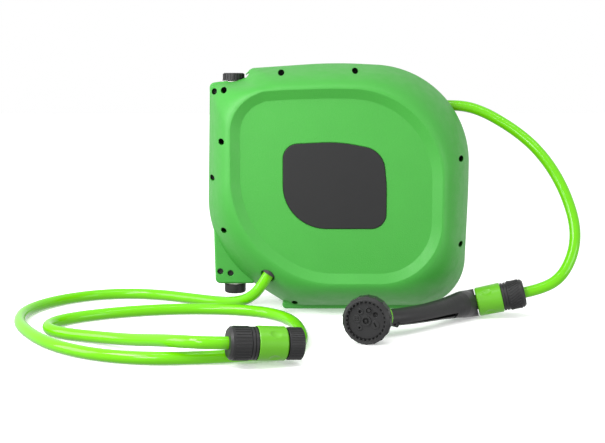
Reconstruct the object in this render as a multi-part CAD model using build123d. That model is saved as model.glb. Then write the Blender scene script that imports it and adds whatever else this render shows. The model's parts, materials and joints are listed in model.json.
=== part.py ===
from build123d import *
import math
import os

# A wall-mounted, self-retracting garden hose reel, with its feed hose, main hose and spray gun.
# Millimetres.  X runs to the right, Y away from the front face, Z up.
# The origin is on the ground, under the middle of the casing.

# ---------------------------------------------------------------- driving dimensions
HALF_DEPTH = 74.0           # from the joint between the halves to the crest of the dome
WALL = 2.6
RING_WIDTH = 11.0           # sloped ring between the crest and the sunk middle
RING_DEPTH = 5.5
EAR_DEPTH = 14.0            # half thickness of the flat ears that carry the pivot
FOOT_DEPTH = 16.0

PIVOT_X = -121.5
PIVOT_END_RADIUS = 12.5
PIVOT_NECK_RADIUS = 7.0
PIVOT_TOP = 274.0
PIVOT_BOTTOM = 17.0
KNOB_BASE = 265.2           # underside of the knob's flange
NECK_DEPTH = 8.0            # how far each pivot reaches into the casing
EAR_TOP = 262.5
EAR_BOTTOM = 29.5

SCREW_HEAD_RADIUS = 3.4
SCREW_RADIUS = 1.9
BOSS_RADIUS = 5.2
SCREW_HEAD_Y = -6.0

DRUM_X = 0.0
DRUM_Z = 148.0
FLANGE_RADIUS = 108.0
HUB_RADIUS = 45.0
DRUM_FRONT = -45.0          # outer face of the front flange
DRUM_REAR = 31.0            # outer face of the rear flange
FLANGE = 2.5
SPRING_CASE_RADIUS = 64.0
SPRING_CASE_REAR = 57.0
AXLE_RADIUS = 9.0
AXLE_BORE = 4.5
RUN_FIT = 0.05              # radial clearance of a running fit

HOSE = 12.4                 # outer diameter of both hoses
LAYERS = 3
OUTLET_Y = 17.0
OUTLET_Z = 237.0
ROLLER_RADIUS = 3.5
ROLLER_GAP = 0.6            # between the hose and each roller
OUTLET_WALL = 2.4

NUT_RADIUS = 16.2
SLEEVE_RADIUS = 16.6
ADAPTER_RADIUS = 15.4
TAP_THREAD_RADIUS = 10.5    # G 1/2

GUN_HEAD_RADIUS = 25.0

SCREW_PLACES = [(-142, 253), (-130, 254.5), (-66, 274), (17, 276), (136.5, 178), (138.5, 80),
                (-132, 198), (-145, 155), (-131, 97), (-138, 44), (-126, 42), (-51, 10)]

# Corners of the casing outline, anticlockwise: x, z and radius, at the joint and at the crest.
JOINT_CORNERS = [(-54.5, 0, 30), (147.5, 0, 58), (152, 140, 1200), (152, 278, 114), (-5, 286, 520),
                 (-101, 279.6, 9), (-113, 267.2, 9), (-149, 262.6, 7), (-153.2, 62, 120)]
CREST_CORNERS = [(-42, 40, 108), (112.5, 39.5, 68), (113, 140, 900), (112, 252, 102), (-5, 257, 520),
                 (-62, 255.2, 100), (-86, 253.5, 24), (-122, 237, 46), (-122, 100, 116)]
# The hollow behind them has a simpler upper left corner.
HOLLOW_CORNERS = [(-54.5, 0, 30), (147.5, 0, 58), (152, 140, 1200), (152, 278, 114), (-5, 286, 520),
                  (-102, 279.5, 14), (-152, 236, 95), (-152, 62, 120)]
HOLLOW_CREST = [(-42, 40, 75), (112, 40, 52), (112.5, 140, 900), (112.5, 252, 88), (-5, 257, 520),
                (-84, 254, 24), (-122, 237, 46), (-122, 100, 85)]

EAR_CORNERS = [(-143.8, EAR_BOTTOM, 6), (-98, EAR_BOTTOM, 3), (-98, 268, 3), (-117, 266, 14),
               (-148.5, EAR_TOP, 6)]
PANEL_CORNERS = [(-64, 101, 49), (51.5, 101, 17), (51.5, 150, 120), (47.5, 189, 27), (-2, 198.4, 150),
                 (-64, 195.6, 17)]

# Route of the main hose from the outlet to its nut, and of the feed hose from the casing to its nut.
MAIN_HOSE_ROUTE = [(134, 17, 236.3), (148, 17, 236.164), (169.5, 13.2, 229.3), (190, 6.5, 218),
                   (209, -1, 205), (228, -10, 188), (246, -24, 163), (259, -39, 133), (266, -53, 101), (262, -63.3, 73),
                   (248, -68.7, 46.5), (226.4, -67.8, 33.35), (205.06, -65.6, 28.45)]
FEED_HOSE_ROUTE = [(-82.5, -60.5, 45), (-89.5, -61, 33.5), (-99.5, -53.5, 22), (-112.5, -39, 13.8),
                   (-129, -20, 8.8), (-150, -2, 6.8), (-180, 17, 6.6), (-216, 38, 6.6),
                   (-258, 46, 6.6), (-299, 34, 6.6), (-337, -2, 6.6), (-357, -56, 6.6), (-350, -115, 6.6), (-326, -168, 6.6),
                   (-290, -222, 6.6), (-243, -260, 6.6), (-190, -277, 6.6), (-140, -273, 6.6),
                   (-93, -263, 6.6), (-59, -249.5, 6.6), (-41.5, -211, 6.6), (-43, -165, 6.6),
                   (-52, -110, 6.6), (-77, -70, 6.6), (-112, -53, 6.6), (-158, -46, 6.6),
                   (-205, -51, 6.6), (-251, -67, 6.6), (-289, -90, 6.6), (-312, -117, 6.6),
                   (-312, -148, 6.6), (-291, -171, 6.6), (-260, -186, 7.0), (-228, -208, 9.5),
                   (-200, -235, 14.5), (-177, -261, 20.5), (-156, -284, 25), (-132.5, -296.3, 26.5),
                   (-109.1, -289.1, 24.56)]

# Quick connectors: the end of the hose nut where the hose goes in, and the direction towards the far end.
FEED_NUT_END = (-111.0, -289.7, 24.72)
FEED_AXIS = (0.953, 0.292, -0.078)
GUN_NUT_END = (207.0, -65.8, 28.9)
GUN_AXIS = (-0.968, 0.10, -0.222)

GUN_HEAD_CENTRE = (23.7, -191.0, 25.3)
GUN_BARREL_ANGLE = 75.5     # direction from the head towards the barrel, from +X


# ---------------------------------------------------------------- small helpers
def save(shape, name):
    export_step(shape, "parts/" + name + ".step")


def rod_y(x, z, radius, y0, y1):
    """A round bar along Y."""
    return Pos(x, (y0 + y1) / 2, z) * Rot(90, 0, 0) * Cylinder(radius, abs(y1 - y0))


def rod_z(x, y, radius, z0, z1):
    """A round bar along Z."""
    return Pos(x, y, (z0 + z1) / 2) * Cylinder(radius, abs(z1 - z0))


def rod_between(start, end, radius):
    """A round bar from one point to another."""
    a, b = Vector(*start), Vector(*end)
    plane = Plane(origin=a, z_dir=b - a)
    return extrude(plane * Circle(radius), amount=(b - a).length)


def inset(corners, distance):
    """The same rounded polygon, moved inwards by a distance."""
    count = len(corners)
    moved = []
    for i in range(count):
        (x0, z0, _), (x1, z1, r), (x2, z2, _) = corners[i - 1], corners[i], corners[(i + 1) % count]
        before = Vector(x1 - x0, z1 - z0).normalized()
        after = Vector(x2 - x1, z2 - z1).normalized()
        n1, n2 = Vector(-before.Y, before.X), Vector(-after.Y, after.X)
        shift = (n1 + n2) * (distance / (1 + n1.dot(n2)))
        moved.append((x1 + shift.X, z1 + shift.Y, max(r - distance, 1.0)))
    return moved


def between(first, second, part):
    """A rounded polygon part of the way from one to another."""
    return [tuple(a + (b - a) * part for a, b in zip(p, q)) for p, q in zip(first, second)]


def outline(corners, y):
    """Closed wire of straight sides and round corners, in the plane at depth y."""
    count = len(corners)
    edges = []
    ends = []
    for i in range(count):
        (x0, z0, _), (x1, z1, r), (x2, z2, _) = corners[i - 1], corners[i], corners[(i + 1) % count]
        here = Vector(x1, z1)
        back = (Vector(x0, z0) - here).normalized()
        ahead = (Vector(x2, z2) - here).normalized()
        half = math.radians(back.get_angle(ahead)) / 2
        reach = r / math.tan(half)
        middle = here + (back + ahead).normalized() * (r / math.sin(half) - r)
        ends.append((here + back * reach, middle, here + ahead * reach))
    for i in range(count):
        a, m, b = [Vector(p.X, y, p.Y) for p in ends[i]]
        following = ends[(i + 1) % count][0]
        edges.append(ThreePointArc(a, m, b))
        edges.append(Line(b, Vector(following.X, y, following.Y)))
    return Wire(edges)


def slab(corners, y0, y1):
    """A plate with a rounded outline between two depths."""
    return Solid.extrude(Face(outline(corners, y0)), Vector(0, y1 - y0, 0))


def dome_part(step):
    """How far towards the crest outline the dome has moved at a fraction of its depth."""
    return 0.4 * step + 0.6 * (1 - math.sqrt(max(0.0, 1 - step * step)))


def dome(joint, crest, depth):
    """The bulging body of one half, from the joint at y = 0 to the crest at y = -depth."""
    steps = [0, 0.25, 0.5, 0.7, 0.85, 0.95, 0.99, 1.0]
    wires = [outline(between(joint, crest, dome_part(s)), -depth * s) for s in steps]
    return Solid.make_loft(wires, ruled=False)


def ring(outer, inner, y0, y1, x=DRUM_X, z=DRUM_Z):
    """A flat washer about an axis along Y."""
    return rod_y(x, z, outer, y0, y1) - rod_y(x, z, inner, y0 - 1, y1 + 1)


def hose_tube(route, name):
    """A plain tube along straight runs joined by arcs as large as the runs allow."""
    points = [Vector(*p) for p in route]
    runs = [(b - a).length for a, b in zip(points, points[1:])]
    radii = []
    for i in range(1, len(points) - 1):
        turn = (points[i] - points[i - 1]).get_angle(points[i + 1] - points[i])
        radii.append(0.45 * min(runs[i - 1], runs[i]) / math.tan(math.radians(turn) / 2))
    path = FilletPolyline(*points, radius=radii)
    section = Plane(origin=points[0], z_dir=points[1] - points[0]) * Circle(HOSE / 2)
    tube = sweep(section, path=path)
    wanted = math.pi * (HOSE / 2) ** 2 * path.length
    print(name, "length", round(path.length, 1), "volume ratio", round(tube.volume / wanted, 4))
    print("  radii", [round(r) for r in radii], "runs", [round(r) for r in runs])
    return tube


# ---------------------------------------------------------------- casing
def half_outside():
    """Outer shape of the front half before hollowing: dome, ears and foot."""
    body = dome(JOINT_CORNERS, CREST_CORNERS, HALF_DEPTH)
    ears = slab(EAR_CORNERS, 0, -EAR_DEPTH)
    ears = chamfer(ears.faces().sort_by(Axis.Y)[0].edges(), 1.8)
    foot = slab([(-65.5, 0, 5), (98, 0, 3), (98, 8.5, 3), (-65.5, 8.5, 3)], 0, -FOOT_DEPTH)
    foot = chamfer(foot.faces().sort_by(Axis.Y)[0].edges(), 1.5)
    recess_top = outline(inset(CREST_CORNERS, 0.4), -HALF_DEPTH)
    recess_low = outline(inset(CREST_CORNERS, RING_WIDTH), -HALF_DEPTH + RING_DEPTH)
    recess_out = outline(inset(CREST_CORNERS, 0.0), -HALF_DEPTH - 0.25)
    recess = Solid.make_loft([recess_top, recess_low], ruled=True)
    skin = Solid.make_loft([recess_out, recess_top], ruled=True)
    panel_pocket = slab(PANEL_CORNERS, -HALF_DEPTH + RING_DEPTH - 1, -HALF_DEPTH + RING_DEPTH + 1.2)
    return (body + ears + foot) - recess - skin - panel_pocket


def half_inside():
    """The hollow of the front half."""
    inner_joint = inset(HOLLOW_CORNERS, WALL)
    inner_crest = inset(HOLLOW_CREST, WALL + 1.0)
    body = dome(inner_joint, inner_crest, HALF_DEPTH - RING_DEPTH - WALL - 1.2)
    ears = slab(inset(EAR_CORNERS, WALL), 0.0, -EAR_DEPTH + WALL)
    return body + ears


OUTSIDE = half_outside()
INSIDE = half_inside()


def pivot_sockets():
    """Round walls inside the ears that hold the pivot bushes."""
    upper = rod_z(PIVOT_X, 0, 12, KNOB_BASE - 8.5, KNOB_BASE - 3)
    lower = rod_z(PIVOT_X, 0, 12, EAR_BOTTOM, EAR_BOTTOM + NECK_DEPTH + 2)
    return upper + lower


def pivot_bores():
    """Holes for the two pivot bushes, and room for the knob beside the dome."""
    bush = PIVOT_NECK_RADIUS + 2.0
    upper = rod_z(PIVOT_X, 0, bush, KNOB_BASE - 7.3, 300)
    lower = rod_z(PIVOT_X, 0, bush, 0, EAR_BOTTOM + NECK_DEPTH + 0.5)
    return upper + lower + rod_z(PIVOT_X, 0, PIVOT_END_RADIUS + 1.6, KNOB_BASE - 1.6, 300)


def below_joint():
    """A block that keeps only what lies in front of the joint."""
    return Pos(0, -100, 140) * Box(420, 200, 420)


FEED_EXIT = Vector(*FEED_HOSE_ROUTE[0])
FEED_EXIT_AXIS = (Vector(*FEED_HOSE_ROUTE[1]) - FEED_EXIT).normalized()


def feed_bar(radius, back, ahead):
    """A bar along the line on which the feed hose leaves the casing."""
    start = FEED_EXIT - FEED_EXIT_AXIS * back
    end = FEED_EXIT + FEED_EXIT_AXIS * ahead
    return rod_between(tuple(start), tuple(end), radius)


def front_casing():
    shell = OUTSIDE - INSIDE
    posts = [rod_y(x, z, BOSS_RADIUS, 0, -HALF_DEPTH) for x, z in SCREW_PLACES]
    posts.append(ring(16.5, 13.1, -HALF_DEPTH + RING_DEPTH, AXLE_FRONT - 1))
    posts.append(pivot_sockets() & below_joint())
    body = shell
    for post in posts:
        body = body + (post & OUTSIDE)
    for x, z in SCREW_PLACES:
        body = body - rod_y(x, z, SCREW_HEAD_RADIUS + 0.2, SCREW_HEAD_Y, -80)
        body = body - rod_y(x, z, SCREW_RADIUS + 0.3, SCREW_HEAD_Y - 1, 1)
    body = body - pivot_bores()
    body = body - feed_bar(8.7, 26, 20)
    return body


def rear_casing():
    mirror_outside = mirror(OUTSIDE, Plane.XZ)
    body = mirror_outside - mirror(INSIDE, Plane.XZ)
    posts = [rod_y(x, z, BOSS_RADIUS, 0, HALF_DEPTH) for x, z in SCREW_PLACES]
    posts.append(ring(15, AXLE_RADIUS, AXLE_REAR - 3.5, HALF_DEPTH - RING_DEPTH))
    posts.append(pivot_sockets() - below_joint())
    posts.append(rod_y(PAWL_X, PAWL_Z, 6, HALF_DEPTH, SPRING_CASE_REAR + 3))
    for post in posts:
        body = body + (post & mirror_outside)
    for x, z in SCREW_PLACES:
        body = body - rod_y(x, z, SCREW_RADIUS, -1, 22)
    body = body - pivot_bores()
    body = body - rod_y(PAWL_X, PAWL_Z, 2.5, 0, HALF_DEPTH - 4)
    body = body - outlet_block(OUTLET_SIZE / 2 + 0.1, 60)
    return body


# ---------------------------------------------------------------- panels, screws and pivot
def panel(side):
    """Dark insert in the sunk middle of one half; side is -1 for the front, 1 for the rear."""
    face = HALF_DEPTH - RING_DEPTH
    plate = slab(inset(PANEL_CORNERS, 0.5), -(face - 1.2), -(face + 0.9))
    plate = chamfer(plate.faces().sort_by(Axis.Y)[0].edges(), 0.6)
    return plate if side < 0 else mirror(plate, Plane.XZ)


def casing_screws():
    screws = []
    for x, z in SCREW_PLACES:
        head = rod_y(x, z, SCREW_HEAD_RADIUS, SCREW_HEAD_Y - 2.4, SCREW_HEAD_Y)
        slot = Pos(x, SCREW_HEAD_Y - 2.2, z)
        cross = slot * Box(3.6, 1.6, 0.9) + slot * Box(0.9, 1.6, 3.6)
        shank = rod_y(x, z, SCREW_RADIUS, SCREW_HEAD_Y, 20)
        screws.append(head - cross + shank)
    return Compound(screws)


def lower_pivot():
    """Round stub under the lower ear, with the neck that the casing turns on."""
    neck = rod_z(PIVOT_X, 0, PIVOT_NECK_RADIUS, EAR_BOTTOM - 3, EAR_BOTTOM + NECK_DEPTH)
    stub = rod_z(PIVOT_X, 0, PIVOT_END_RADIUS, PIVOT_BOTTOM, EAR_BOTTOM - 1.4)
    stub = fillet(stub.edges().sort_by(Axis.Z)[0], 2.5)
    return neck + stub


def upper_pivot():
    """Ribbed knob above the upper ear, with the neck that the casing turns on."""
    flange = rod_z(PIVOT_X, 0, PIVOT_END_RADIUS + 0.6, KNOB_BASE, KNOB_BASE + 1.2)
    cap = rod_z(PIVOT_X, 0, PIVOT_END_RADIUS - 0.6, KNOB_BASE, PIVOT_TOP)
    cap = chamfer(cap.edges().sort_by(Axis.Z)[-1], 0.8)
    for i in range(20):
        turn = Pos(PIVOT_X, 0, 0) * Rot(0, 0, i * 18)
        rib = Pos(PIVOT_END_RADIUS - 0.7, 0, (KNOB_BASE + PIVOT_TOP) / 2 - 0.2) * Box(1.4, 2.0, 7.2)
        cap = cap + turn * rib
    return cap + flange + rod_z(PIVOT_X, 0, PIVOT_NECK_RADIUS, KNOB_BASE - 7, KNOB_BASE + 1)


def pivot_bush(low, high, flange_low):
    """Flanged plastic bush round one neck."""
    bush = rod_z(PIVOT_X, 0, PIVOT_NECK_RADIUS + 1.98, low, high)
    flange = rod_z(PIVOT_X, 0, PIVOT_END_RADIUS - 1.0, flange_low, flange_low + 1.1)
    return bush + flange - rod_z(PIVOT_X, 0, PIVOT_NECK_RADIUS + RUN_FIT, 0, 300)


# ---------------------------------------------------------------- hose outlet
OUTLET_ROLL = HOSE / 2 + ROLLER_GAP + ROLLER_RADIUS     # from the hose's line to a roller's line
OUTLET_SIZE = 2 * (OUTLET_ROLL + ROLLER_RADIUS + 0.6 + OUTLET_WALL)
OUTLET_BACK = 85.0
STAND_X = 105.0             # the two upright rollers
LEVEL_X = 93.5              # the two level rollers


def outlet_block(half, length):
    """A square bar through the rear half on the line of the main hose."""
    return Pos(OUTLET_BACK + length / 2, OUTLET_Y, OUTLET_Z) * Box(length, 2 * half, 2 * half)


def outlet_guide():
    """Square funnel in the rear half, cut back to the curve of the casing."""
    frame = outlet_block(OUTLET_SIZE / 2, 60) & mirror(OUTSIDE, Plane.XZ)
    frame = frame - outlet_block(OUTLET_SIZE / 2 - OUTLET_WALL, 80)
    for place in roller_places():
        frame = frame - place.pin(1.55)
    return frame


class RollerPlace:
    """One of the four rollers: its line, and its pin and body on that line."""

    def __init__(self, name, x, dy, dz, upright):
        self.name = name
        self.centre = (x, OUTLET_Y + dy, OUTLET_Z + dz)
        self.upright = upright

    def bar(self, radius, length):
        x, y, z = self.centre
        if self.upright:
            return rod_z(x, y, radius, z - length / 2, z + length / 2)
        return rod_y(x, z, radius, y - length / 2, y + length / 2)

    def pin(self, radius=1.5):
        return self.bar(radius, OUTLET_SIZE - 1.0)

    def roller(self):
        length = 2 * OUTLET_ROLL + 2 * ROLLER_RADIUS - 0.4
        return self.bar(ROLLER_RADIUS, length) - self.bar(1.5 + RUN_FIT, length + 2)


def roller_places():
    return [RollerPlace("front", STAND_X, -OUTLET_ROLL, 0, True),
            RollerPlace("rear", STAND_X, OUTLET_ROLL, 0, True),
            RollerPlace("lower", LEVEL_X, 0, -OUTLET_ROLL, False),
            RollerPlace("upper", LEVEL_X, 0, OUTLET_ROLL, False)]


# ---------------------------------------------------------------- axle, water joint and spring
AXLE_FRONT = -60.0
AXLE_REAR = 64.5            # just short of the rear casing's wall
SEAL_Y = -20.0


def axle():
    """Fixed hollow axle; water comes in at the front and leaves by four side holes."""
    bar = rod_y(DRUM_X, DRUM_Z, AXLE_RADIUS, AXLE_FRONT, AXLE_REAR)
    bar = bar - rod_y(DRUM_X, DRUM_Z, AXLE_BORE, AXLE_FRONT - 1, SEAL_Y + 8)
    for angle in (0, 90):
        bar = bar - Pos(DRUM_X, SEAL_Y, DRUM_Z) * Rot(0, angle, 0) * Cylinder(2.5, 30)
    for y in (SEAL_Y - 9, SEAL_Y + 9):
        bar = bar - ring(AXLE_RADIUS + 1, AXLE_RADIUS - 1.5, y - 1.3, y + 1.3)
    return bar


def o_rings():
    """Two rubber rings in the grooves either side of the side holes."""
    seals = []
    for y in (SEAL_Y - 9, SEAL_Y + 9):
        circle = Plane.XY * Pos(AXLE_RADIUS - 0.7, 0) * Circle(0.72)
        torus = revolve(circle, Axis.Y)
        seals.append(Pos(DRUM_X, y, DRUM_Z) * torus)
    return Compound(seals)


def water_joint():
    """Sleeve that turns with the drum and carries water from the axle to the hose barb."""
    body = ring(16, AXLE_RADIUS + RUN_FIT, SEAL_Y - 14, SEAL_Y + 14)
    gallery = ring(12, AXLE_RADIUS - 1, SEAL_Y - 5, SEAL_Y + 5)
    barb = Pos(DRUM_X + 22, SEAL_Y, DRUM_Z) * Rot(0, 90, 0) * Cylinder(4, 16)
    tip = Pos(DRUM_X + 29, SEAL_Y, DRUM_Z) * Rot(0, 90, 0) * Cone(4.8, 3.6, 6)
    bore = Pos(DRUM_X + 22, SEAL_Y, DRUM_Z) * Rot(0, 90, 0) * Cylinder(2.6, 26)
    return body - gallery + barb + tip - bore


def feed_elbow():
    """Elbow on the front end of the axle, with a barb that points down to the left."""
    cup = ring(13, AXLE_RADIUS, AXLE_FRONT, AXLE_FRONT + 9)
    cap = rod_y(DRUM_X, DRUM_Z, 13, AXLE_FRONT - 3, AXLE_FRONT)
    spout = rod_between((-8, -54.5, 139.5), (-19.5, -54.5, 127.5), 5.5)
    barb = rod_between((-19, -54.5, 128), (-31, -54.5, 115.5), 4.0)
    bore = rod_between((-1, -54.5, 147), (-32, -54.5, 114.5), 2.6)
    clear = rod_y(DRUM_X, DRUM_Z, AXLE_RADIUS, AXLE_FRONT, AXLE_FRONT + 20)
    return cup + cap + (spout + barb - clear) - bore - rod_y(DRUM_X, DRUM_Z, AXLE_BORE, AXLE_FRONT - 1, 0)


def feed_hose_inner():
    """Stretch of feed hose inside the casing, from the elbow to the feed hole."""
    start = Vector(-22, -54.5, 124.9)
    end = FEED_EXIT
    near = end - FEED_EXIT_AXIS * 15
    bend = Vector(-52, -54.5, 94)
    path = FilletPolyline(start, bend, Vector(-70, -54.8, 71), near, end, radius=[60, 40, 12])
    section = Plane(origin=start, z_dir=bend - start) * Circle(HOSE / 2)
    tube = sweep(section, path=path)
    return tube - rod_between((-19, -54.5, 128), (-31.2, -54.5, 115.3), 4.2)


def feed_hose_clip():
    clip = rod_between((-25, -54.5, 121.9), (-30.5, -54.5, 116.2), HOSE / 2 + 1)
    return clip - rod_between((-20, -54.5, 127), (-40, -54.5, 106.2), HOSE / 2 + 0.15)


def feed_grommet():
    """Rubber ring round the hose in the feed hole."""
    return feed_bar(8.6, 10, -5) - feed_bar(HOSE / 2 + 0.1, 20, 20)


def spring_arbor():
    """Slotted collar on the axle that holds the spring's inner end."""
    collar = ring(13, AXLE_RADIUS, DRUM_REAR + 4, SPRING_CASE_REAR - 4)
    return collar - Pos(DRUM_X + 11, (DRUM_REAR + SPRING_CASE_REAR) / 2, DRUM_Z) * Box(6, 60, 1.2)


def power_spring():
    """Flat spiral spring between the arbor and the rim of its case."""
    turns = 7
    steps = 24
    inner, outer, thick = 14.5, SPRING_CASE_RADIUS - 4.2, 1.6
    points = []
    for i in range(turns * steps + 1):
        part = i / (turns * steps)
        angle = 2 * math.pi * turns * part
        radius = inner + (outer - inner) * part
        points.append((radius * math.cos(angle), radius * math.sin(angle)))
    far = [(x * (1 + thick / math.hypot(x, z)), z * (1 + thick / math.hypot(x, z))) for x, z in points]
    left = Spline([Vector(DRUM_X + x, DRUM_REAR + 5, DRUM_Z + z) for x, z in points])
    right = Spline([Vector(DRUM_X + x, DRUM_REAR + 5, DRUM_Z + z) for x, z in far])
    ends = [Line(left @ 0, right @ 0), Line(left @ 1, right @ 1)]
    face = Face(Wire([left.edge(), ends[1].edge(), right.edge(), ends[0].edge()]))
    return Solid.extrude(face, Vector(0, SPRING_CASE_REAR - DRUM_REAR - 10, 0))


# ---------------------------------------------------------------- drum
HUB_FRONT = DRUM_FRONT + FLANGE
HUB_REAR = DRUM_REAR - FLANGE
DRUM_SCREWS = 6


def around(count, radius, first=0.0):
    """Points evenly spaced round the drum's axis."""
    step = 2 * math.pi / count
    return [(DRUM_X + radius * math.cos(first + i * step), DRUM_Z + radius * math.sin(first + i * step))
            for i in range(count)]


def flange_plate(y0, y1):
    """Round flange with a rolled rim and six openings."""
    plate = ring(FLANGE_RADIUS, 30, y0, y1)
    plate = plate + ring(FLANGE_RADIUS, FLANGE_RADIUS - 2.5, y0 - 1.5, y1 + 1.5)
    for x, z in around(6, 88, math.pi / 6):
        plate = plate - rod_y(x, z, 11, y0 - 2, y1 + 2)
    return plate


def drum_front_flange():
    plate = flange_plate(DRUM_FRONT, DRUM_FRONT + FLANGE)
    plate = plate + ring(31, AXLE_RADIUS + 1.5 + RUN_FIT, DRUM_FRONT, DRUM_FRONT + FLANGE)
    for x, z in around(DRUM_SCREWS, 37):
        plate = plate - rod_y(x, z, 1.7, -60, 0)
    return plate


def drum_hub():
    """Hollow hub; the hose's inner end goes through its wall to the water joint."""
    tube = ring(HUB_RADIUS, HUB_RADIUS - 2.5, HUB_FRONT, HUB_REAR)
    for x, z in around(DRUM_SCREWS, 37):
        tube = tube + rod_y(x, z, 5.5, HUB_FRONT, HUB_FRONT + 14)
        side = Pos((x - DRUM_X) * 1.09 + DRUM_X, HUB_FRONT + 7, (z - DRUM_Z) * 1.09 + DRUM_Z)
        tube = tube + side * Rot(0, -math.degrees(math.atan2(z - DRUM_Z, x - DRUM_X)), 0) * Box(5, 14, 4)
    for x, z in around(DRUM_SCREWS, 37):
        tube = tube - rod_y(x, z, 1.3, HUB_FRONT - 1, HUB_FRONT + 12)
    return tube - rod_between((30, SEAL_Y, DRUM_Z), (50, SEAL_Y, DRUM_Z), HOSE / 2 + 0.3)


def drum_rear_flange():
    """Rear flange, closed by the floor of the spring case."""
    plate = flange_plate(HUB_REAR, DRUM_REAR)
    plate = plate + ring(31, AXLE_RADIUS + 1.5 + RUN_FIT, HUB_REAR, DRUM_REAR)
    return plate


def drum_screws():
    screws = []
    for x, z in around(DRUM_SCREWS, 37):
        head = rod_y(x, z, 3, DRUM_FRONT - 1.8, DRUM_FRONT)
        shank = rod_y(x, z, 1.3, DRUM_FRONT, HUB_FRONT + 10)
        screws.append(head + shank)
    return Compound(screws)


def bearing(y0, y1):
    """Flanged bush between the drum and the fixed axle."""
    return ring(AXLE_RADIUS + 1.5, AXLE_RADIUS + RUN_FIT, y0, y1)


def inner_hose_end():
    """First centimetres of the main hose, from the water joint out through the hub."""
    tube = rod_between((26.5, SEAL_Y, DRUM_Z), (HUB_RADIUS - 0.8, SEAL_Y, DRUM_Z), HOSE / 2)
    tip = Pos(DRUM_X + 29, SEAL_Y, DRUM_Z) * Rot(0, 90, 0) * Cone(4.8, 3.6, 6)
    return tube - rod_between((20, SEAL_Y, DRUM_Z), (32.5, SEAL_Y, DRUM_Z), 4.0) - tip


def inner_hose_clip():
    clip = rod_between((27.5, SEAL_Y, DRUM_Z), (35, SEAL_Y, DRUM_Z), HOSE / 2 + 1)
    return clip - rod_between((20, SEAL_Y, DRUM_Z), (40, SEAL_Y, DRUM_Z), HOSE / 2 + 0.02)


def wound_hose():
    """The hose on the drum: each layer is a row of turns side by side."""
    width = HUB_REAR - HUB_FRONT
    turns = int(width // HOSE)
    start = HUB_FRONT + (width - turns * HOSE) / 2
    outer = HUB_RADIUS + LAYERS * HOSE
    body = ring(outer - HOSE / 2, HUB_RADIUS + 0.1, start, start + turns * HOSE)
    for i in range(turns):
        circle = Pos(outer - HOSE / 2, start + (i + 0.5) * HOSE) * Circle(HOSE / 2 - 0.02)
        body = body + Pos(DRUM_X, 0, DRUM_Z) * revolve(circle, Axis.Y)
    return body


def hose_run():
    """Main hose from the top of the winding through the rollers to the outlet."""
    start = (0, OUTLET_Y, OUTLET_Z + 0.6)
    return rod_between(start, MAIN_HOSE_ROUTE[0], HOSE / 2)


# ---------------------------------------------------------------- spring case and ratchet
RATCHET_TEETH = 8
PAWL_X = 84.0
PAWL_Z = DRUM_Z - 24.0


def spring_case():
    """Cup on the drum's rear flange that holds the spring."""
    cup = ring(SPRING_CASE_RADIUS, SPRING_CASE_RADIUS - 2.2, DRUM_REAR, SPRING_CASE_REAR - 2)
    floor = ring(SPRING_CASE_RADIUS, AXLE_RADIUS + 1.5 + RUN_FIT, DRUM_REAR, DRUM_REAR + 2.2)
    return cup + floor


def spring_cover():
    """Lid of the spring case, with the ratchet's teeth round its rim."""
    lid = ring(SPRING_CASE_RADIUS, AXLE_RADIUS + 1.5 + RUN_FIT, SPRING_CASE_REAR - 2, SPRING_CASE_REAR)
    return lid


def ratchet_wheel():
    """Toothed ring round the spring case."""
    bore = SPRING_CASE_RADIUS + 0.05
    wheel = ring(SPRING_CASE_RADIUS + 4, bore, SPRING_CASE_REAR - 9, SPRING_CASE_REAR - 1)
    for i in range(RATCHET_TEETH):
        low = SPRING_CASE_RADIUS + 3.8
        tooth = Plane.XZ * Polyline((0, low - 0.5), (7.5, low), (7.5, low + 4.5), (-5, low), close=True)
        block = extrude(make_face(tooth), amount=8, both=False)
        block = Pos(0, -block.bounding_box().min.Y, 0) * block
        wheel = wheel + Pos(DRUM_X, SPRING_CASE_REAR - 9, DRUM_Z) * Rot(0, i * 360 / RATCHET_TEETH, 0) * block
    return wheel


def pawl():
    """Lever that drops behind a ratchet tooth and holds the hose out."""
    hub = ring(5.5, 2.5 + RUN_FIT, SPRING_CASE_REAR - 8.5, SPRING_CASE_REAR - 1.5, PAWL_X, PAWL_Z)
    finger = Plane.XZ * Polyline((PAWL_X - 2, PAWL_Z + 4.5), (PAWL_X - 8.5, PAWL_Z + 17),
                                 (PAWL_X - 5, PAWL_Z + 20), (PAWL_X + 4.5, PAWL_Z + 3), close=True)
    arm = extrude(make_face(finger), amount=7)
    arm = Pos(0, SPRING_CASE_REAR - 8.5 - arm.bounding_box().min.Y, 0) * arm
    return hub + (arm - rod_y(PAWL_X, PAWL_Z, 5.0, 0, 80))


def pawl_pin():
    return rod_y(PAWL_X, PAWL_Z, 2.5, SPRING_CASE_REAR - 9, HALF_DEPTH - 5)


def pawl_spring():
    """Small torsion spring round the pawl's pin."""
    coils = ring(4.3, 3.1, SPRING_CASE_REAR - 1.2, SPRING_CASE_REAR + 2.6, PAWL_X, PAWL_Z)
    return coils


# ---------------------------------------------------------------- quick connectors
COLLAR = 7.0                # length of the dark collar between nut and sleeve
SLEEVE = 28.0
FEED_NUT = 20.0             # length of the feed hose's nut
GUN_NUT = 18.5
ADAPTER = 15.0
JOIN_GAP = 1.2


def at_connector(end, axis):
    """Location whose Z runs along a connector, from its hose end."""
    return Plane(origin=end, z_dir=axis).location


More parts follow.
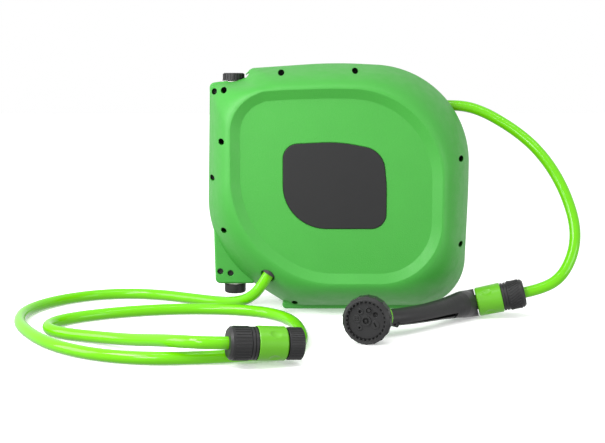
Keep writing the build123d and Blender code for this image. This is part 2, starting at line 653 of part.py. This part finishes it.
def nut(length, lean):
    """Ribbed clamping nut; lean turns the ribs into a slight spiral."""
    body = extrude(Circle(NUT_RADIUS - 0.5), amount=length)
    body = chamfer(body.edges().sort_by(Axis.Z)[0], 2.2)
    ribs = 32
    for i in range(ribs):
        rib = Pos(NUT_RADIUS - 0.7, 0, length / 2 + 1.8) * Rot(lean, 0, 0) * Box(1.4, 1.3, length - 5.5)
        body = body + Rot(0, 0, i * 360 / ribs) * rib
    body = body - Pos(0, 0, 2.5) * Cylinder(HOSE / 2 + 0.2, 5.1)
    return body - Pos(0, 0, 5 + length / 2) * Cylinder(12.2, length)


def connector_body(length):
    """Barb end, clamped thread, collar, and the tube that the sleeve slides on."""
    front = length + COLLAR + SLEEVE
    body = Pos(0, 0, 4) * Cylinder(HOSE / 2, 4)
    body = body + extrude(Pos(0, 0, 6) * Circle(12.0), amount=length - 5.4)
    body = body + extrude(Pos(0, 0, length + 0.6) * Circle(15.6), amount=COLLAR - 1.2)
    groove = Pos(0, 0, length + COLLAR / 2) * (Cylinder(17, 1.0) - Cylinder(14.6, 1.2))
    body = body + extrude(Pos(0, 0, length + 5) * Circle(11.8), amount=front - length - 6)
    body = body - Pos(0, 0, front) * Cylinder(8.6, 30)
    return body - groove


def connector_sleeve(length):
    """Sliding sleeve with four shallow grip hollows."""
    start = length + COLLAR
    wide, narrow = SLEEVE_RADIUS, SLEEVE_RADIUS - 0.5
    side = Polyline((0, start), (wide - 0.6, start), (wide, start + 0.8), (narrow, start + SLEEVE - 1.2),
                    (narrow - 1.2, start + SLEEVE), (0, start + SLEEVE), close=True)
    body = revolve(Plane.XZ * make_face(side), Axis.Z)
    body = body - Pos(0, 0, start + 3) * Cylinder(15.85, 6.1)
    body = body - Pos(0, 0, start + SLEEVE / 2) * Cylinder(12.0, SLEEVE + 2)
    for i in range(4):
        dent = Rot(0, 0, 45 + i * 90) * Pos(SLEEVE_RADIUS + 12.5, 0, start + SLEEVE / 2 + 2) * Sphere(14)
        body = body - dent
    return body


def tap_adapter():
    """Ribbed female adapter on the free end of the feed connector."""
    start = FEED_NUT + COLLAR + SLEEVE + JOIN_GAP
    body = extrude(Pos(0, 0, start) * Circle(ADAPTER_RADIUS - 0.4), amount=ADAPTER)
    body = chamfer(body.edges().sort_by(Axis.Z)[-1], 0.8)
    ribs = 40
    for i in range(ribs):
        rib = Pos(ADAPTER_RADIUS - 0.6, 0, start + ADAPTER / 2) * Box(1.2, 1.1, ADAPTER - 2)
        body = body + Rot(0, 0, i * 360 / ribs) * rib
    spigot = Pos(0, 0, start - 6) * Cylinder(8.5, 12.5)
    body = body + spigot - Pos(0, 0, start) * Cylinder(5, 60)
    seat = extrude(Pos(0, 0, start + 3) * Circle(TAP_THREAD_RADIUS + 0.5), amount=2.0)
    return body - seat - extrude(Pos(0, 0, start + 5) * Circle(TAP_THREAD_RADIUS), amount=ADAPTER)


def tap_washer():
    """Flat rubber washer at the bottom of the adapter's thread."""
    start = FEED_NUT + COLLAR + SLEEVE + JOIN_GAP + 3
    return extrude(Pos(0, 0, start) * (Circle(TAP_THREAD_RADIUS + 0.4) - Circle(6)), amount=1.9)


# ---------------------------------------------------------------- spray gun
BACK = (math.cos(math.radians(GUN_BARREL_ANGLE)), math.sin(math.radians(GUN_BARREL_ANGLE)), 0)
GUN_TAIL = tuple(e + a * (GUN_NUT + COLLAR + SLEEVE + JOIN_GAP) for e, a in zip(GUN_NUT_END, GUN_AXIS))
# Centre and radius of round sections along the handle, from the barrel to the hose end.
HANDLE = [((36, -163, 21), 9.2), ((52.5, -153.5, 19.5), 9.0), ((66, -144.0, 18.8), 9.4),
          ((88, -124.5, 17.8), 10.0), ((109, -102.5, 17.2), 11.2), ((122, -88.8, 17.0), 12.9),
          ((135, -75.5, 17.2), 14.9)]
# The trigger lies along the underside of the handle. Its plane stands upright along the handle:
# X runs from the hinge towards the hose, Y upwards, and Z sideways towards the front.
TRIGGER_HEADING = math.radians(43)
TRIGGER_PLANE = Plane(origin=(48.5, -156, 0), x_dir=(math.cos(TRIGGER_HEADING), math.sin(TRIGGER_HEADING), 0),
                      z_dir=(math.sin(TRIGGER_HEADING), -math.cos(TRIGGER_HEADING), 0))
TRIGGER_HINGE = (4.0, 12.4)
TRIGGER_TOP = [(96, 8.6), (80, 9.2), (50, 10.6), (20, 12.4), (0, 13.2)]
POCKET_TOP = [(98.5, 12.4), (80, 12.7), (50, 12.7), (20, 13.0), (-1, 13.8)]
TRIGGER_SIDE = -3.0         # the far side of the trigger; its near side is the handle's own


def at_head():
    """Location at the middle of the gun's head, whose Z points out of the nozzle."""
    return Plane(origin=GUN_HEAD_CENTRE, x_dir=(0, 0, 1), z_dir=(-BACK[0], -BACK[1], 0)).location


def along_barrel(distance):
    return tuple(c + b * distance for c, b in zip(GUN_HEAD_CENTRE, BACK))


def handle_skin():
    """Round handle that curves away from the barrel and widens towards the hose."""
    centres = [Vector(*c) for c, _ in HANDLE] + [Vector(*GUN_TAIL)]
    radii = [r for _, r in HANDLE] + [15.5]
    along = [0.0]
    for a, b in zip(centres, centres[1:]):
        along.append(along[-1] + (b - a).length)
    line = Spline(*centres, tangents=[centres[1] - centres[0], Vector(*GUN_AXIS) * -1])
    rings = []
    count = 22
    for i in range(count + 1):
        t = i / count
        place = t * along[-1]
        k = max(j for j in range(len(along) - 1) if along[j] <= place)
        radius = radii[k] + (radii[k + 1] - radii[k]) * (place - along[k]) / (along[k + 1] - along[k])
        direction = line % t
        upright = Vector(0, 0, 1).cross(direction).cross(direction) * -1
        rings.append((Plane(origin=line @ t, x_dir=upright, z_dir=direction) * Circle(radius)).wire())
    return Solid.make_loft(rings, ruled=True)


def trigger_slice(top, low, side):
    """A block below a line along the handle, from one side of it to the front."""
    profile = make_face(Polyline((top[-1][0], low), (top[0][0], low), *top, close=True))
    return extrude(TRIGGER_PLANE.offset(side) * profile, amount=40)


def hinge_bar(radius, start, end):
    """A bar along the trigger's hinge, between two distances from the trigger's plane."""
    return extrude(TRIGGER_PLANE.offset(start) * Pos(*TRIGGER_HINGE) * Circle(radius), amount=end - start)


def barrel():
    return rod_between(along_barrel(15), along_barrel(45), 12.5) + Pos(*along_barrel(45)) * Sphere(12.5)


def gun_body(skin):
    """Barrel behind the head and the handle that curves away to the hose."""
    nipple = rod_between(tuple(e + a * -9 for e, a in zip(GUN_TAIL, GUN_AXIS)), GUN_TAIL, 8.4)
    body = barrel() + skin + nipple
    body = body - trigger_slice(POCKET_TOP, -6, TRIGGER_SIDE - 0.6) - hinge_bar(3.2, TRIGGER_SIDE - 0.6, 20)
    body = body - hinge_bar(1.3, TRIGGER_SIDE - 3, 0)
    return body - rod_between(along_barrel(10), along_barrel(36), 6.0)


def gun_trigger(skin):
    """Long lever on the underside of the handle, flush with it, hinged near the head."""
    lever = skin & trigger_slice(TRIGGER_TOP, -5, TRIGGER_SIDE)
    return lever + hinge_bar(2.6, TRIGGER_SIDE, 8) - hinge_bar(1.3 + RUN_FIT, TRIGGER_SIDE - 1, 20)


def gun_trigger_pin():
    return hinge_bar(1.3, TRIGGER_SIDE - 3, 7.5)


def gun_head():
    """Dial with a scalloped rim, a sunk face and a tapered back."""
    rim = extrude(Pos(0, 0, -5) * Circle(GUN_HEAD_RADIUS - 0.6), amount=11)
    back = Pos(0, 0, -8) * Cone(17.5, GUN_HEAD_RADIUS - 1, 6)
    front = Pos(0, 0, 7.5) * Cone(GUN_HEAD_RADIUS - 1, GUN_HEAD_RADIUS - 3.4, 3)
    head = rim + back + front
    lobes = 18
    for i in range(lobes):
        head = head + Rot(0, 0, i * 360 / lobes) * Pos(GUN_HEAD_RADIUS - 3.0, 0, 0.5) * Cylinder(3.0, 9)
    head = head - Pos(0, 0, 10) * Cylinder(18.6, 12)
    slots = 28
    for i in range(slots):
        head = head - Rot(0, 0, i * 360 / slots) * Pos(19.3, 0, 8) * Box(1.8, 2.7, 5)
    return head - Pos(0, 0, -8) * Cylinder(12.0, 16)


def gun_face():
    """Face plate with a jet in the middle and six spray patterns round it, each a different one."""
    plate = extrude(Pos(0, 0, 4.1) * Circle(18.4), amount=2.4)
    plate = plate + Pos(0, 0, 6.8) * Cylinder(5.0, 2.2) - Pos(0, 0, 7) * Cylinder(3.4, 4)
    plate = plate + Pos(0, 0, 6) * Cylinder(1.3, 2.4)
    top = 6.5
    jet = Pos(9.2, 6.2, top)
    plate = plate + jet * Cylinder(3.1, 1.6) - jet * Cylinder(1.7, 5)
    cone = Pos(10.7, -2.8, top)
    plate = plate + cone * Cylinder(3.7, 1.6) - cone * (Cylinder(2.9, 3) - Cylinder(1.7, 4))
    mesh = Pos(1.7, 9.4, top)
    plate = plate + mesh * Cylinder(4.2, 1.4)
    for u in (-1.7, 0, 1.7):
        for v in (-1.7, 0, 1.7):
            plate = plate - Pos(u, v, 0) * mesh * Cylinder(0.45, 4)
    fine = Pos(-7.3, 6.7, top)
    plate = plate + fine * Cylinder(2.9, 1.6) - fine * Cylinder(1.1, 5)
    flat = Pos(-3.8, -9.3, top)
    plate = plate + flat * Cylinder(4.3, 1.4) - flat * Rot(0, 0, 30) * Box(5.4, 1.1, 3)
    soft = Pos(6.7, -9.3, top)
    return plate - soft * Sphere(2.6)


def gun_ring():
    """Thin green ring round the neck of the handle."""
    start, radius = HANDLE[0]
    direction = Vector(*HANDLE[1][0]) - Vector(*start)
    plane = Plane(origin=Vector(*start) + direction * 0.58, z_dir=direction)
    return extrude(plane * (Circle(radius + 1.2) - Circle(radius + 0.55)), amount=1.2) - barrel()


def gun_valve_stem():
    """Rod in the barrel that the trigger pushes to let water through."""
    return rod_between(along_barrel(13), along_barrel(30), 2.0)


def gun_valve_spring():
    return rod_between(along_barrel(14), along_barrel(26), 5.6) - rod_between(
        along_barrel(10), along_barrel(30), 4.4)


# ---------------------------------------------------------------- writing the nodes
def main():
    os.makedirs("parts", exist_ok=True)
    feed = at_connector(FEED_NUT_END, FEED_AXIS)
    gun = at_connector(GUN_NUT_END, GUN_AXIS)
    skin = handle_skin()
    nodes = {
        "front_casing": front_casing(),
        "rear_casing": rear_casing(),
        "front_panel": panel(-1),
        "rear_panel": panel(1),
        "casing_screws": casing_screws(),
        "lower_pivot": lower_pivot(),
        "upper_pivot": upper_pivot(),
        "lower_bush": pivot_bush(EAR_BOTTOM - 1.2, EAR_BOTTOM + NECK_DEPTH, EAR_BOTTOM - 1.2),
        "upper_bush": pivot_bush(KNOB_BASE - 7.2, KNOB_BASE - 0.2, KNOB_BASE - 1.5),
        "outlet_guide": outlet_guide(),
        "outlet_roller_pins": Compound([place.pin() for place in roller_places()]),
        "axle": axle(),
        "o_rings": o_rings(),
        "water_joint": water_joint(),
        "feed_elbow": feed_elbow(),
        "feed_hose_inner": feed_hose_inner(),
        "feed_hose_clip": feed_hose_clip(),
        "feed_grommet": feed_grommet(),
        "drum_hub": drum_hub(),
        "drum_front_flange": drum_front_flange(),
        "drum_rear_flange": drum_rear_flange(),
        "drum_screws": drum_screws(),
        "front_bearing": bearing(DRUM_FRONT - 2, DRUM_FRONT + FLANGE + 3),
        "rear_bearing": bearing(HUB_REAR - 2, DRUM_REAR + 2.2),
        "cover_bearing": bearing(SPRING_CASE_REAR - 3, SPRING_CASE_REAR + 1),
        "inner_hose_end": inner_hose_end(),
        "inner_hose_clip": inner_hose_clip(),
        "wound_hose": wound_hose(),
        "hose_run": hose_run(),
        "spring_case": spring_case(),
        "spring_cover": spring_cover(),
        "spring_arbor": spring_arbor(),
        "power_spring": power_spring(),
        "ratchet_wheel": ratchet_wheel(),
        "pawl": pawl(),
        "pawl_pin": pawl_pin(),
        "pawl_spring": pawl_spring(),
        "main_hose": hose_tube(MAIN_HOSE_ROUTE, "main_hose"),
        "feed_hose": hose_tube(FEED_HOSE_ROUTE, "feed_hose"),
        "feed_nut": feed * nut(FEED_NUT, 0),
        "feed_connector_body": feed * connector_body(FEED_NUT),
        "feed_connector_sleeve": feed * connector_sleeve(FEED_NUT),
        "tap_adapter": feed * tap_adapter(),
        "tap_washer": feed * tap_washer(),
        "gun_nut": gun * nut(GUN_NUT, 26),
        "gun_connector_body": gun * connector_body(GUN_NUT),
        "gun_connector_sleeve": gun * connector_sleeve(GUN_NUT),
        "gun_body": gun_body(skin),
        "gun_trigger": gun_trigger(skin),
        "gun_trigger_pin": gun_trigger_pin(),
        "gun_head": at_head() * gun_head(),
        "gun_face": at_head() * gun_face(),
        "gun_ring": gun_ring(),
        "gun_valve_stem": gun_valve_stem(),
        "gun_valve_spring": gun_valve_spring(),
    }
    for place in roller_places():
        nodes["outlet_roller_" + place.name] = place.roller()
    for name, shape in nodes.items():
        save(shape, name)


main()
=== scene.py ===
import json
import math
import bpy
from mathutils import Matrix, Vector


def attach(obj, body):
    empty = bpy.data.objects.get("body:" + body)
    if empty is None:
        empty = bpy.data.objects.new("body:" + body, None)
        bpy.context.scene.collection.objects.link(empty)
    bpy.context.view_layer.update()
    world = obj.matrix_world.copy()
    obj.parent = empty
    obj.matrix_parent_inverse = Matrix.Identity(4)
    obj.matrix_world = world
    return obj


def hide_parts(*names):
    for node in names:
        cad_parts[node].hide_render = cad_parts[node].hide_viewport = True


# A self-retracting garden hose reel, dressed for a plain white studio.  Metres, in the frame's axes:
# X to the right, Y away from the front face, Z up.

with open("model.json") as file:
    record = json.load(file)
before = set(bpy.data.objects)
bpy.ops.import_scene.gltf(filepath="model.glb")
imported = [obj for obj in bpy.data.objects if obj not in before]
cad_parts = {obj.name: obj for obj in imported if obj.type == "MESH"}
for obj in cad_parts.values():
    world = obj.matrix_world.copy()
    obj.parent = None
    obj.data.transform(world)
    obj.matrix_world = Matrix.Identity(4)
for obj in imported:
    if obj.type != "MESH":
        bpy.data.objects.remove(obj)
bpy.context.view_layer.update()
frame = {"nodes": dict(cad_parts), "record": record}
nodes = frame["nodes"]

HOSE_DIAMETER = 0.0124
FLOOR_HALF = 8.0            # wide enough to reach the horizon

# The camera looks at the front face, a little from above.
CAMERA_PLACE = (-0.042, -1.282, 0.263)
CAMERA_TILT = 82.8          # degrees from straight down
CAMERA_LENS = 65.45
CAMERA_SENSOR = 36

# Soft lights: name, place, target, size and power.
LIGHTS = [
    ("key", (-0.62, -0.6, 0.62), (-0.02, 0, 0.15), (0.35, 0.35), 7),
    ("sheen", (-0.5, -1.1, 0.42), (-0.06, 0, 0.15), (0.3, 0.3), 5),
    ("side", (-1.0, -0.3, 0.35), (0, 0, 0.15), (0.5, 0.5), 5),
    ("fill", (1.0, -0.9, 0.1), (0.1, 0, 0.1), (0.6, 0.6), 7),
    ("strip", (-0.1, -0.45, 1.1), (-0.05, -0.1, 0), (1.4, 0.06), 5)]

# The routes of the two free hoses, from the exit to the nut: control points of a smooth spline.
MAIN_HOSE_ROUTE = [
    (0.134, 0.017, 0.2363), (0.148, 0.017, 0.2362), (0.1695, 0.0132, 0.2293), (0.190, 0.0065, 0.218),
    (0.209, -0.001, 0.205), (0.228, -0.010, 0.188), (0.246, -0.024, 0.163), (0.259, -0.039, 0.133),
    (0.266, -0.053, 0.101), (0.262, -0.0633, 0.073), (0.248, -0.0687, 0.0465), (0.2264, -0.0678, 0.03335),
    (0.20506, -0.0656, 0.02845)]
FEED_HOSE_ROUTE = [
    (-0.0825, -0.0605, 0.045), (-0.0895, -0.061, 0.0335), (-0.0995, -0.0535, 0.022),
    (-0.1125, -0.039, 0.0138), (-0.129, -0.020, 0.0088), (-0.150, -0.002, 0.0068),
    (-0.180, 0.017, 0.0066), (-0.216, 0.038, 0.0066), (-0.258, 0.046, 0.0066),
    (-0.299, 0.034, 0.0066), (-0.337, -0.002, 0.0066), (-0.357, -0.056, 0.0066),
    (-0.350, -0.115, 0.0066), (-0.326, -0.168, 0.0066), (-0.290, -0.222, 0.0066),
    (-0.243, -0.260, 0.0066), (-0.190, -0.277, 0.0066), (-0.140, -0.273, 0.0066),
    (-0.093, -0.263, 0.0066), (-0.059, -0.2495, 0.0066), (-0.0415, -0.211, 0.0066),
    (-0.043, -0.165, 0.0066), (-0.052, -0.110, 0.0066), (-0.077, -0.070, 0.0066),
    (-0.112, -0.053, 0.0066), (-0.158, -0.046, 0.0066), (-0.205, -0.051, 0.0066),
    (-0.251, -0.067, 0.0066), (-0.289, -0.090, 0.0066), (-0.312, -0.117, 0.0066),
    (-0.312, -0.148, 0.0066), (-0.291, -0.171, 0.0066), (-0.260, -0.186, 0.0070),
    (-0.228, -0.208, 0.0095), (-0.200, -0.235, 0.0145), (-0.177, -0.261, 0.0205),
    (-0.156, -0.284, 0.025), (-0.1325, -0.2963, 0.0265), (-0.1091, -0.2891, 0.02456)]


# ---------------------------------------------------------------- materials
def new_material(name, colour, roughness):
    """A material and its shader node."""
    material = bpy.data.materials.new(name)
    material.use_nodes = True
    shader = material.node_tree.nodes["Principled BSDF"]
    shader.inputs["Base Color"].default_value = (*colour, 1)
    shader.inputs["Roughness"].default_value = roughness
    return material, shader


def noise(material, size, detail=2.0, roughness=0.5):
    """Noise whose grains are about size metres across."""
    tree = material.node_tree
    place = tree.nodes.new("ShaderNodeTexCoord")
    texture = tree.nodes.new("ShaderNodeTexNoise")
    texture.inputs["Scale"].default_value = 1 / size
    texture.inputs["Detail"].default_value = detail
    texture.inputs["Roughness"].default_value = roughness
    tree.links.new(place.outputs["Object"], texture.inputs["Vector"])
    return texture.outputs["Fac"]


def add_bump(material, shader, height, depth, round_edges):
    """Fine relief on top of edges that look rounded by round_edges metres."""
    tree = material.node_tree
    bump = tree.nodes.new("ShaderNodeBump")
    bump.inputs["Distance"].default_value = depth
    tree.links.new(height, bump.inputs["Height"])
    if round_edges:
        edge = tree.nodes.new("ShaderNodeBevel")
        edge.samples = 6
        edge.inputs["Radius"].default_value = round_edges
        tree.links.new(edge.outputs["Normal"], bump.inputs["Normal"])
    tree.links.new(bump.outputs["Normal"], shader.inputs["Normal"])


def vary_colour(material, shader, colour, size, amount):
    """Cloudy change of colour, as in moulded plastic."""
    tree = material.node_tree
    mix = tree.nodes.new("ShaderNodeMix")
    mix.data_type = "RGBA"
    mix.inputs["A"].default_value = (*[c * (1 - amount) for c in colour], 1)
    mix.inputs["B"].default_value = (*[min(c * (1 + amount), 1) for c in colour], 1)
    tree.links.new(noise(material, size, 3), mix.inputs["Factor"])
    tree.links.new(mix.outputs["Result"], shader.inputs["Base Color"])


def vary_roughness(material, shader, low, high, size):
    """Cloudy change of gloss, as from handling and moulding."""
    tree = material.node_tree
    spread = tree.nodes.new("ShaderNodeMapRange")
    spread.inputs["From Min"].default_value = 0.3
    spread.inputs["From Max"].default_value = 0.7
    spread.inputs["To Min"].default_value = low
    spread.inputs["To Max"].default_value = high
    tree.links.new(noise(material, size, 4), spread.inputs["Value"])
    tree.links.new(spread.outputs["Result"], shader.inputs["Roughness"])


def moulded_plastic(name, colour, roughness, grain, depth, round_edges, gloss):
    """Plastic with a fine leather-like grain, slightly cloudy in colour and in gloss."""
    material, shader = new_material(name, colour, roughness)
    shader.inputs["Specular IOR Level"].default_value = gloss
    vary_colour(material, shader, colour, 0.03, 0.04)
    vary_roughness(material, shader, roughness - 0.05, roughness + 0.06, 0.012)
    add_bump(material, shader, noise(material, grain, 2), depth, round_edges)
    return material


# Colour, roughness, grain size, grain depth, rounding of edges (metres) and gloss of each finish.
FINISHES = {
    "casing_green": ((0.032, 0.25, 0.025), 0.5, 0.0011, 0.00025, 0.0012, 0.42),
    "panel_grey": ((0.014, 0.014, 0.0145), 0.5, 0.0007, 0.00010, 0.0006, 0.22),
    "black_plastic": ((0.014, 0.014, 0.0145), 0.42, 0.0009, 0.00008, 0.0004, 0.3),
    "hose_green": ((0.105, 0.42, 0.0015), 0.14, 0.005, 0.00004, 0, 0.3),
    "connector_green": ((0.085, 0.31, 0.008), 0.33, 0.0009, 0.00008, 0.0004, 0.35),
    "drum_plastic": ((0.03, 0.03, 0.032), 0.5, 0.0009, 0.00006, 0.0005, 0.5),
    "bearing_plastic": ((0.62, 0.61, 0.57), 0.4, 0.0009, 0.00004, 0.0005, 0.5),
    "steel": ((0.45, 0.45, 0.46), 0.35, 0.0006, 0.00002, 0.0005, 0.5),
    "black_steel": ((0.012, 0.012, 0.012), 0.45, 0.0006, 0.00002, 0.0005, 0.5),
    "spring_steel": ((0.2, 0.2, 0.23), 0.35, 0.0006, 0.00002, 0.0005, 0.5),
    "brass": ((0.62, 0.42, 0.16), 0.3, 0.0006, 0.00002, 0.0005, 0.5),
    "rubber": ((0.015, 0.015, 0.015), 0.7, 0.0009, 0.00005, 0.0005, 0.5)}
METALS = ("steel", "spring_steel", "brass")

finishes = {}
for name, settings in FINISHES.items():
    finishes[name] = moulded_plastic(name, *settings)
for name in METALS:
    finishes[name].node_tree.nodes["Principled BSDF"].inputs["Metallic"].default_value = 1.0
for part in frame["record"]["subparts"]:
    mesh = nodes[part["node"]].data
    mesh.materials.clear()
    mesh.materials.append(finishes[part["material_slot"]])
for name in ("casing_screws", "gun_trigger_pin"):
    nodes[name].data.materials[0] = finishes["black_steel"]


# ---------------------------------------------------------------- hoses
def smooth_line(name, route):
    """A NURBS spline with the route's points as its control points."""
    curve = bpy.data.curves.new(name, "CURVE")
    curve.dimensions = "3D"
    spline = curve.splines.new("NURBS")
    spline.points.add(len(route) - 1)
    for point, place in zip(spline.points, route):
        point.co = (*place, 1)
    spline.order_u = 3
    spline.use_endpoint_u = True
    spline.resolution_u = 12
    return curve


def hose(name, route, node):
    """A free hose along its route, attached to the reel, in place of the CAD hose node, which is hidden.
    """
    curve = smooth_line(name, route)
    curve.bevel_depth = HOSE_DIAMETER / 2
    curve.bevel_resolution = 8
    curve.materials.append(finishes["hose_green"])
    tube = bpy.data.objects.new(name, curve)
    bpy.context.scene.collection.objects.link(tube)
    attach(tube, "reel")
    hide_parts(node)


hose("main_hose_free", MAIN_HOSE_ROUTE, "main_hose")
hose("feed_hose_free", FEED_HOSE_ROUTE, "feed_hose")


# ---------------------------------------------------------------- studio
def area_light(name, place, target, size, power):
    light = bpy.data.lights.new(name, "AREA")
    light.shape = "RECTANGLE"
    light.size, light.size_y = size
    light.energy = power
    lamp = bpy.data.objects.new(name, light)
    lamp.location = place
    lamp.visible_camera = False
    lamp.rotation_euler = (Vector(target) - Vector(place)).to_track_quat("-Z", "Y").to_euler()
    bpy.context.scene.collection.objects.link(lamp)


def bright_sky(above, below):
    """White light from all round, slightly weaker from below the horizon."""
    world = bpy.data.worlds.new("studio")
    bpy.context.scene.world = world
    world.use_nodes = True
    tree = world.node_tree
    place = tree.nodes.new("ShaderNodeTexCoord")
    split = tree.nodes.new("ShaderNodeSeparateXYZ")
    spread = tree.nodes.new("ShaderNodeMapRange")
    spread.inputs["From Min"].default_value = -0.3
    spread.inputs["From Max"].default_value = -0.02
    spread.inputs["To Min"].default_value = below
    spread.inputs["To Max"].default_value = above
    tree.links.new(place.outputs["Generated"], split.inputs["Vector"])
    tree.links.new(split.outputs["Z"], spread.inputs["Value"])
    tree.nodes["Background"].inputs["Color"].default_value = (1, 1, 1, 1)
    tree.links.new(spread.outputs["Result"], tree.nodes["Background"].inputs["Strength"])


def studio():
    """A white floor that faintly glows, so shadows stay pale, and the lights."""
    mesh = bpy.data.meshes.new("floor")
    half = FLOOR_HALF
    corners = [(-half, -half, 0), (half, -half, 0), (half, half, 0), (-half, half, 0)]
    mesh.from_pydata(corners, [], [(0, 1, 2, 3)])
    floor = bpy.data.objects.new("floor", mesh)
    bpy.context.scene.collection.objects.link(floor)
    material, shader = new_material("floor_white", (0.95, 0.95, 0.95), 0.7)
    shader.inputs["Emission Color"].default_value = (1, 1, 1, 1)
    shader.inputs["Emission Strength"].default_value = 0.22
    mesh.materials.append(material)
    floor.visible_diffuse = False
    floor.visible_glossy = False
    bright_sky(1.0, 0.85)
    for light in LIGHTS:
        area_light(*light)


def camera():
    data = bpy.data.cameras.new("camera")
    data.sensor_width = CAMERA_SENSOR
    data.lens = CAMERA_LENS
    data.clip_start = 0.01
    view = bpy.data.objects.new("camera", data)
    view.location = CAMERA_PLACE
    view.rotation_euler = (math.radians(CAMERA_TILT), 0, 0)
    bpy.context.scene.collection.objects.link(view)
    bpy.context.scene.camera = view


studio()
camera()
bpy.context.scene.view_settings.view_transform = "Standard"
